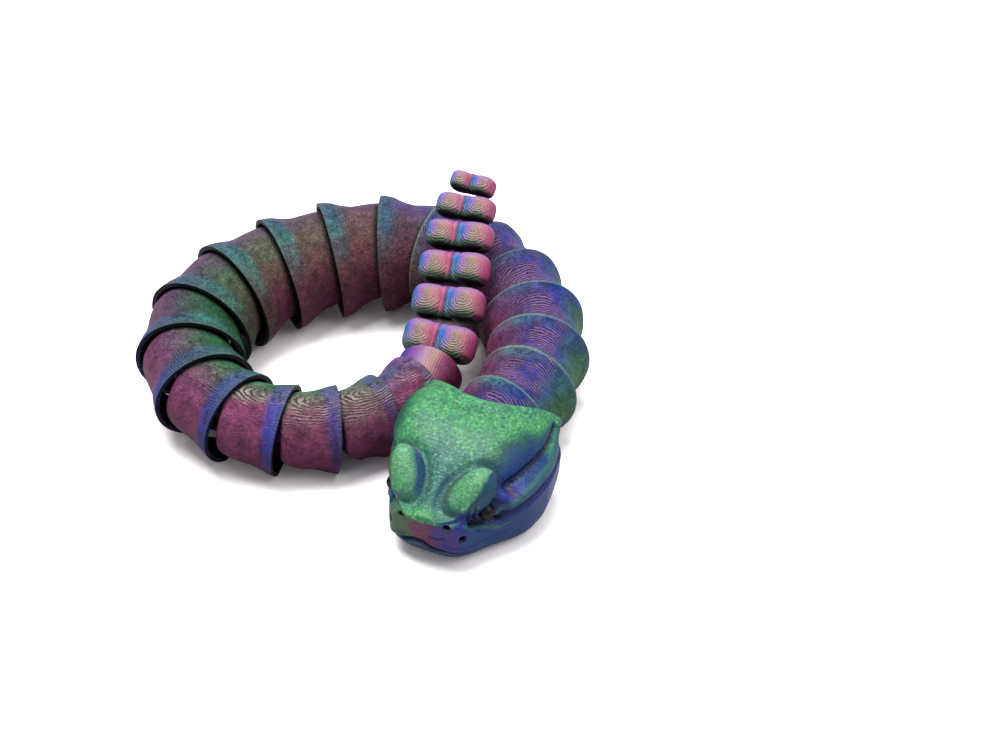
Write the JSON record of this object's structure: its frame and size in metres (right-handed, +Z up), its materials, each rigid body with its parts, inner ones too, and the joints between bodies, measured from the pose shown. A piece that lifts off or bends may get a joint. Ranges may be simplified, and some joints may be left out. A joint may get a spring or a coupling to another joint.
{
  "type": "articulated snake toy",
  "caption": "Hinged print-in-place rattlesnake lying in a ring, with a flat triangular head, hollow hoods and a raised jointed rattle.",
  "frame": {"origin": "on the floor under the middle of the whole toy as it lies", "axes": "+Z up; the head lies to the front, towards -Y, on the right-hand (+X) side"},
  "size_m": [0.126, 0.135, 0.0506],
  "materials": {
    "head_plastic": "silk, green turning blue on the right-hand side",
    "body_plastic": "silk, rose, violet, blue and green by the way a wall faces",
    "rattle_plastic": "silk, pink, blue and pale gold"
  },
  "bodies": {
    "head": {"head": "head_plastic"},
    "body_segment_01": {"body_segment_01": "body_plastic"},
    "body_segment_02": {"body_segment_02": "body_plastic"},
    "body_segment_03": {"body_segment_03": "body_plastic"},
    "body_segment_04": {"body_segment_04": "body_plastic"},
    "body_segment_05": {"body_segment_05": "body_plastic"},
    "body_segment_06": {"body_segment_06": "body_plastic"},
    "body_segment_07": {"body_segment_07": "body_plastic"},
    "body_segment_08": {"body_segment_08": "body_plastic"},
    "body_segment_09": {"body_segment_09": "body_plastic"},
    "body_segment_10": {"body_segment_10": "body_plastic"},
    "body_segment_11": {"body_segment_11": "body_plastic"},
    "body_segment_12": {"body_segment_12": "body_plastic"},
    "body_segment_13": {"body_segment_13": "body_plastic"},
    "body_segment_14": {"body_segment_14": "body_plastic"},
    "body_segment_15": {"body_segment_15": "body_plastic"},
    "body_segment_16": {"body_segment_16": "body_plastic"},
    "body_segment_17": {"body_segment_17": "body_plastic"},
    "body_segment_18": {"body_segment_18": "body_plastic"},
    "body_segment_19": {"body_segment_19": "body_plastic"},
    "tail_cap": {"tail_cap": "body_plastic"},
    "rattle_button_1": {"rattle_button_1": "rattle_plastic"},
    "rattle_button_2": {"rattle_button_2": "rattle_plastic"},
    "rattle_button_3": {"rattle_button_3": "rattle_plastic"},
    "rattle_button_4": {"rattle_button_4": "rattle_plastic"},
    "rattle_button_5": {"rattle_button_5": "rattle_plastic"},
    "rattle_button_6": {"rattle_button_6": "rattle_plastic"}
  },
  "joints": [
    {"name": "body_hinge_01", "type": "hinge", "parent": "head", "child": "body_segment_01", "pos_m": [0.03306, -0.03371, 0.012], "axis": [0, 0, 1], "range_deg": [-1.5, 12]},
    {"name": "body_hinge_02", "type": "hinge", "parent": "body_segment_01", "child": "body_segment_02", "pos_m": [0.0412, -0.02195, 0.012], "axis": [0, 0, 1], "range_deg": [-39, 2]},
    {"name": "body_hinge_03", "type": "hinge", "parent": "body_segment_02", "child": "body_segment_03", "pos_m": [0.04677, -0.00878, 0.012], "axis": [0, 0, -1], "range_deg": [-1.2, 41]},
    {"name": "body_hinge_04", "type": "hinge", "parent": "body_segment_03", "child": "body_segment_04", "pos_m": [0.049, 0.00535, 0.012], "axis": [0, 0, 1], "range_deg": [-45, 0.9]},
    {"name": "body_hinge_05", "type": "hinge", "parent": "body_segment_04", "child": "body_segment_05", "pos_m": [0.04656, 0.01948, 0.012], "axis": [0, 0, -1], "range_deg": [-0.7, 45]},
    {"name": "body_hinge_06", "type": "hinge", "parent": "body_segment_05", "child": "body_segment_06", "pos_m": [0.04, 0.03236, 0.012], "axis": [0, 0, 1], "range_deg": [-44.4, 0.7]},
    {"name": "body_hinge_07", "type": "hinge", "parent": "body_segment_06", "child": "body_segment_07", "pos_m": [0.02983, 0.04311, 0.012], "axis": [0, 0, -1], "range_deg": [-0.7, 45]},
    {"name": "body_hinge_08", "type": "hinge", "parent": "body_segment_07", "child": "body_segment_08", "pos_m": [0.01592, 0.0499, 0.012], "axis": [0, 0, 1], "range_deg": [-45, 0.7]},
    {"name": "body_hinge_09", "type": "hinge", "parent": "body_segment_08", "child": "body_segment_09", "pos_m": [-0.00053, 0.04984, 0.012], "axis": [0, 0, -1], "range_deg": [-0.6, 44]},
    {"name": "body_hinge_10", "type": "hinge", "parent": "body_segment_09", "child": "body_segment_10", "pos_m": [-0.0165, 0.04502, 0.012], "axis": [0, 0, 1], "range_deg": [-38, 0.6]},
    {"name": "body_hinge_11", "type": "hinge", "parent": "body_segment_10", "child": "body_segment_11", "pos_m": [-0.03105, 0.03722, 0.012], "axis": [0, 0, -1], "range_deg": [-0.6, 40]},
    {"name": "body_hinge_12", "type": "hinge", "parent": "body_segment_11", "child": "body_segment_12", "pos_m": [-0.04264, 0.02591, 0.012], "axis": [0, 0, 1], "range_deg": [-1.1, 0.8]},
    {"name": "body_hinge_13", "type": "hinge", "parent": "body_segment_12", "child": "body_segment_13", "pos_m": [-0.04862, 0.01134, 0.012], "axis": [0, 0, -1], "range_deg": [-1.1, 0.7]},
    {"name": "body_hinge_14", "type": "hinge", "parent": "body_segment_13", "child": "body_segment_14", "pos_m": [-0.04758, -0.00385, 0.012], "axis": [0, 0, 1], "range_deg": [-0.6, 2]},
    {"name": "body_hinge_15", "type": "hinge", "parent": "body_segment_14", "child": "body_segment_15", "pos_m": [-0.04023, -0.01653, 0.012], "axis": [0, 0, -1], "range_deg": [-4.8, 0.6]},
    {"name": "body_hinge_16", "type": "hinge", "parent": "body_segment_15", "child": "body_segment_16", "pos_m": [-0.02876, -0.02474, 0.012], "axis": [0, 0, 1], "range_deg": [-0.7, 7]},
    {"name": "body_hinge_17", "type": "hinge", "parent": "body_segment_16", "child": "body_segment_17", "pos_m": [-0.01545, -0.02762, 0.012], "axis": [0, 0, -1], "range_deg": [-5, 0.9]},
    {"name": "body_hinge_18", "type": "hinge", "parent": "body_segment_17", "child": "body_segment_18", "pos_m": [-0.00248, -0.02503, 0.012], "axis": [0, 0, 1], "range_deg": [-1.2, 4]},
    {"name": "body_hinge_19", "type": "hinge", "parent": "body_segment_18", "child": "body_segment_19", "pos_m": [0.00826, -0.01773, 0.012], "axis": [0, 0, -1], "range_deg": [-9, 1.4]},
    {"name": "cap_hinge", "type": "hinge", "parent": "body_segment_19", "child": "tail_cap", "pos_m": [0.01658, -0.00788, 0.012], "axis": [0, 0, 1], "range_deg": [-2, 2.5]},
    {"name": "rattle_lift", "type": "hinge", "parent": "tail_cap", "child": "rattle_button_1", "pos_m": [0.01975, 0.00097, 0.0126], "axis": [0.9415, -0.3371, 0], "range_deg": [-1.2, 12]},
    {"name": "rattle_hinge_2", "type": "hinge", "parent": "rattle_button_1", "child": "rattle_button_2", "pos_m": [0.02264, 0.00905, 0.0198], "axis": [-0.2167, -0.6052, 0.766], "range_deg": [-6, 1.2]},
    {"name": "rattle_hinge_3", "type": "hinge", "parent": "rattle_button_2", "child": "rattle_button_3", "pos_m": [0.02445, 0.01717, 0.02672], "axis": [-0.2167, -0.6052, 0.766], "range_deg": [-8, 3.5]},
    {"name": "rattle_hinge_4", "type": "hinge", "parent": "rattle_button_3", "child": "rattle_button_4", "pos_m": [0.02588, 0.0248, 0.03316], "axis": [-0.2167, -0.6052, 0.766], "range_deg": [-5.6, 6]},
    {"name": "rattle_hinge_5", "type": "hinge", "parent": "rattle_button_4", "child": "rattle_button_5", "pos_m": [0.0274, 0.03164, 0.03899], "axis": [-0.2167, -0.6052, 0.766], "range_deg": [-3.2, 9]},
    {"name": "rattle_hinge_6", "type": "hinge", "parent": "rattle_button_5", "child": "rattle_button_6", "pos_m": [0.02925, 0.03744, 0.0441], "axis": [-0.2167, -0.6052, 0.766], "range_deg": [-3.6, 12]}
  ]
}
